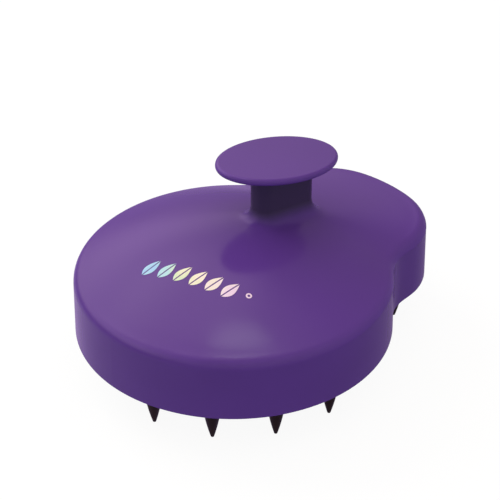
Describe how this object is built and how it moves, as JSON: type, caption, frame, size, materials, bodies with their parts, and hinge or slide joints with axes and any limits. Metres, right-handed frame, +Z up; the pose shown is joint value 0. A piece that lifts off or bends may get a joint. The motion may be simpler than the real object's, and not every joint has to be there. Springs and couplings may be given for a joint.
{
  "type": "palm massage brush",
  "caption": "Palm-held massage and grooming brush: hollow two-lobed body, oval palm disc on a flat neck, and soft conical tines that bend from a rubber pad.",
  "frame": {"origin": "centre of the footprint, on the plane that the tine tips stand on", "axes": "+Z up, from the tine tips to the palm disc; +Y from the broad front lobe to the narrow rear lobe; +X across, with the body mirror-symmetric about X = 0"},
  "size_m": [0.08, 0.098, 0.0552],
  "materials": {
    "body_plastic": "satin",
    "disc_plastic": "satin",
    "plate_plastic": "matt",
    "pad_rubber": "matt",
    "tine_rubber": "satin",
    "gasket_rubber": "matt",
    "clamp_metal": "brushed",
    "screw_steel": "plated"
  },
  "bodies": {
    "comb_body": {"backing_plate": "plate_plastic", "disc_clamp_plate": "clamp_metal", "disc_screws": "screw_steel", "neck_gasket": "gasket_rubber", "palm_disc": "disc_plastic", "plate_screws": "screw_steel", "tine_pad": "pad_rubber", "top_shell": "body_plastic"},
    "tine_front_centre": {"tine_front_centre": "tine_rubber"},
    "tine_outer_01": {"tine_outer_01": "tine_rubber"},
    "tine_outer_02": {"tine_outer_02": "tine_rubber"},
    "tine_outer_03": {"tine_outer_03": "tine_rubber"},
    "tine_outer_04": {"tine_outer_04": "tine_rubber"},
    "tine_outer_05": {"tine_outer_05": "tine_rubber"},
    "tine_outer_06": {"tine_outer_06": "tine_rubber"},
    "tine_outer_07": {"tine_outer_07": "tine_rubber"},
    "tine_outer_08": {"tine_outer_08": "tine_rubber"},
    "tine_outer_09": {"tine_outer_09": "tine_rubber"},
    "tine_outer_10": {"tine_outer_10": "tine_rubber"},
    "tine_outer_11": {"tine_outer_11": "tine_rubber"},
    "tine_outer_12": {"tine_outer_12": "tine_rubber"},
    "tine_outer_13": {"tine_outer_13": "tine_rubber"},
    "tine_outer_14": {"tine_outer_14": "tine_rubber"},
    "tine_outer_15": {"tine_outer_15": "tine_rubber"},
    "tine_rear_centre": {"tine_rear_centre": "tine_rubber"},
    "tine_ring_1": {"tine_ring_1": "tine_rubber"},
    "tine_ring_2": {"tine_ring_2": "tine_rubber"},
    "tine_ring_3": {"tine_ring_3": "tine_rubber"},
    "tine_ring_4": {"tine_ring_4": "tine_rubber"},
    "tine_ring_5": {"tine_ring_5": "tine_rubber"},
    "tine_ring_6": {"tine_ring_6": "tine_rubber"},
    "tine_ring_7": {"tine_ring_7": "tine_rubber"},
    "tine_ring_8": {"tine_ring_8": "tine_rubber"}
  },
  "joints": [
    {"name": "bend_front_centre", "type": "hinge", "parent": "comb_body", "child": "tine_front_centre", "pos_m": [0, -0.00899, 0.0135], "axis": [1, 0, 0], "range_deg": [-15, 15], "stiffness_Nm_per_rad": 0.003},
    {"name": "bend_outer_01", "type": "hinge", "parent": "comb_body", "child": "tine_outer_01", "pos_m": [0.00646, -0.04176, 0.0135], "axis": [1, 0, 0], "range_deg": [-15, 15], "stiffness_Nm_per_rad": 0.003},
    {"name": "bend_outer_02", "type": "hinge", "parent": "comb_body", "child": "tine_outer_02", "pos_m": [0.02038, -0.03545, 0.0135], "axis": [1, 0, 0], "range_deg": [-15, 15], "stiffness_Nm_per_rad": 0.003},
    {"name": "bend_outer_03", "type": "hinge", "parent": "comb_body", "child": "tine_outer_03", "pos_m": [0.03004, -0.0236, 0.0135], "axis": [1, 0, 0], "range_deg": [-15, 15], "stiffness_Nm_per_rad": 0.003},
    {"name": "bend_outer_04", "type": "hinge", "parent": "comb_body", "child": "tine_outer_04", "pos_m": [0.0334, -0.00868, 0.0135], "axis": [1, 0, 0], "range_deg": [-15, 15], "stiffness_Nm_per_rad": 0.003},
    {"name": "bend_outer_05", "type": "hinge", "parent": "comb_body", "child": "tine_outer_05", "pos_m": [0.02976, 0.00617, 0.0135], "axis": [1, 0, 0], "range_deg": [-15, 15], "stiffness_Nm_per_rad": 0.003},
    {"name": "bend_outer_06", "type": "hinge", "parent": "comb_body", "child": "tine_outer_06", "pos_m": [0.02049, 0.01842, 0.0135], "axis": [1, 0, 0], "range_deg": [-15, 15], "stiffness_Nm_per_rad": 0.003},
    {"name": "bend_outer_07", "type": "hinge", "parent": "comb_body", "child": "tine_outer_07", "pos_m": [0.0166, 0.03316, 0.0135], "axis": [1, 0, 0], "range_deg": [-15, 15], "stiffness_Nm_per_rad": 0.003},
    {"name": "bend_outer_08", "type": "hinge", "parent": "comb_body", "child": "tine_outer_08", "pos_m": [0.00498, 0.04203, 0.0135], "axis": [1, 0, 0], "range_deg": [-15, 15], "stiffness_Nm_per_rad": 0.003},
    {"name": "bend_outer_09", "type": "hinge", "parent": "comb_body", "child": "tine_outer_09", "pos_m": [-0.01016, 0.04051, 0.0135], "axis": [1, 0, 0], "range_deg": [-15, 15], "stiffness_Nm_per_rad": 0.003},
    {"name": "bend_outer_10", "type": "hinge", "parent": "comb_body", "child": "tine_outer_10", "pos_m": [-0.01744, 0.02783, 0.0135], "axis": [1, 0, 0], "range_deg": [-15, 15], "stiffness_Nm_per_rad": 0.003},
    {"name": "bend_outer_11", "type": "hinge", "parent": "comb_body", "child": "tine_outer_11", "pos_m": [-0.02397, 0.01427, 0.0135], "axis": [1, 0, 0], "range_deg": [-15, 15], "stiffness_Nm_per_rad": 0.003},
    {"name": "bend_outer_12", "type": "hinge", "parent": "comb_body", "child": "tine_outer_12", "pos_m": [-0.03182, 0.00115, 0.0135], "axis": [1, 0, 0], "range_deg": [-15, 15], "stiffness_Nm_per_rad": 0.003},
    {"name": "bend_outer_13", "type": "hinge", "parent": "comb_body", "child": "tine_outer_13", "pos_m": [-0.03301, -0.01409, 0.0135], "axis": [1, 0, 0], "range_deg": [-15, 15], "stiffness_Nm_per_rad": 0.003},
    {"name": "bend_outer_14", "type": "hinge", "parent": "comb_body", "child": "tine_outer_14", "pos_m": [-0.02728, -0.02826, 0.0135], "axis": [1, 0, 0], "range_deg": [-15, 15], "stiffness_Nm_per_rad": 0.003},
    {"name": "bend_outer_15", "type": "hinge", "parent": "comb_body", "child": "tine_outer_15", "pos_m": [-0.01584, -0.0384, 0.0135], "axis": [1, 0, 0], "range_deg": [-15, 15], "stiffness_Nm_per_rad": 0.003},
    {"name": "bend_rear_centre", "type": "hinge", "parent": "comb_body", "child": "tine_rear_centre", "pos_m": [0, 0.02761, 0.0135], "axis": [1, 0, 0], "range_deg": [-15, 15], "stiffness_Nm_per_rad": 0.003},
    {"name": "bend_ring_1", "type": "hinge", "parent": "comb_body", "child": "tine_ring_1", "pos_m": [0.00712, -0.02618, 0.0135], "axis": [1, 0, 0], "range_deg": [-15, 15], "stiffness_Nm_per_rad": 0.003},
    {"name": "bend_ring_2", "type": "hinge", "parent": "comb_body", "child": "tine_ring_2", "pos_m": [0.01718, -0.01611, 0.0135], "axis": [1, 0, 0], "range_deg": [-15, 15], "stiffness_Nm_per_rad": 0.003},
    {"name": "bend_ring_3", "type": "hinge", "parent": "comb_body", "child": "tine_ring_3", "pos_m": [0.01718, -0.00188, 0.0135], "axis": [1, 0, 0], "range_deg": [-15, 15], "stiffness_Nm_per_rad": 0.003},
    {"name": "bend_ring_4", "type": "hinge", "parent": "comb_body", "child": "tine_ring_4", "pos_m": [0.00712, 0.00819, 0.0135], "axis": [1, 0, 0], "range_deg": [-15, 15], "stiffness_Nm_per_rad": 0.003},
    {"name": "bend_ring_5", "type": "hinge", "parent": "comb_body", "child": "tine_ring_5", "pos_m": [-0.00712, 0.00819, 0.0135], "axis": [1, 0, 0], "range_deg": [-15, 15], "stiffness_Nm_per_rad": 0.003},
    {"name": "bend_ring_6", "type": "hinge", "parent": "comb_body", "child": "tine_ring_6", "pos_m": [-0.01718, -0.00188, 0.0135], "axis": [1, 0, 0], "range_deg": [-15, 15], "stiffness_Nm_per_rad": 0.003},
    {"name": "bend_ring_7", "type": "hinge", "parent": "comb_body", "child": "tine_ring_7", "pos_m": [-0.01718, -0.01611, 0.0135], "axis": [1, 0, 0], "range_deg": [-15, 15], "stiffness_Nm_per_rad": 0.003},
    {"name": "bend_ring_8", "type": "hinge", "parent": "comb_body", "child": "tine_ring_8", "pos_m": [-0.00712, -0.02618, 0.0135], "axis": [1, 0, 0], "range_deg": [-15, 15], "stiffness_Nm_per_rad": 0.003}
  ]
}
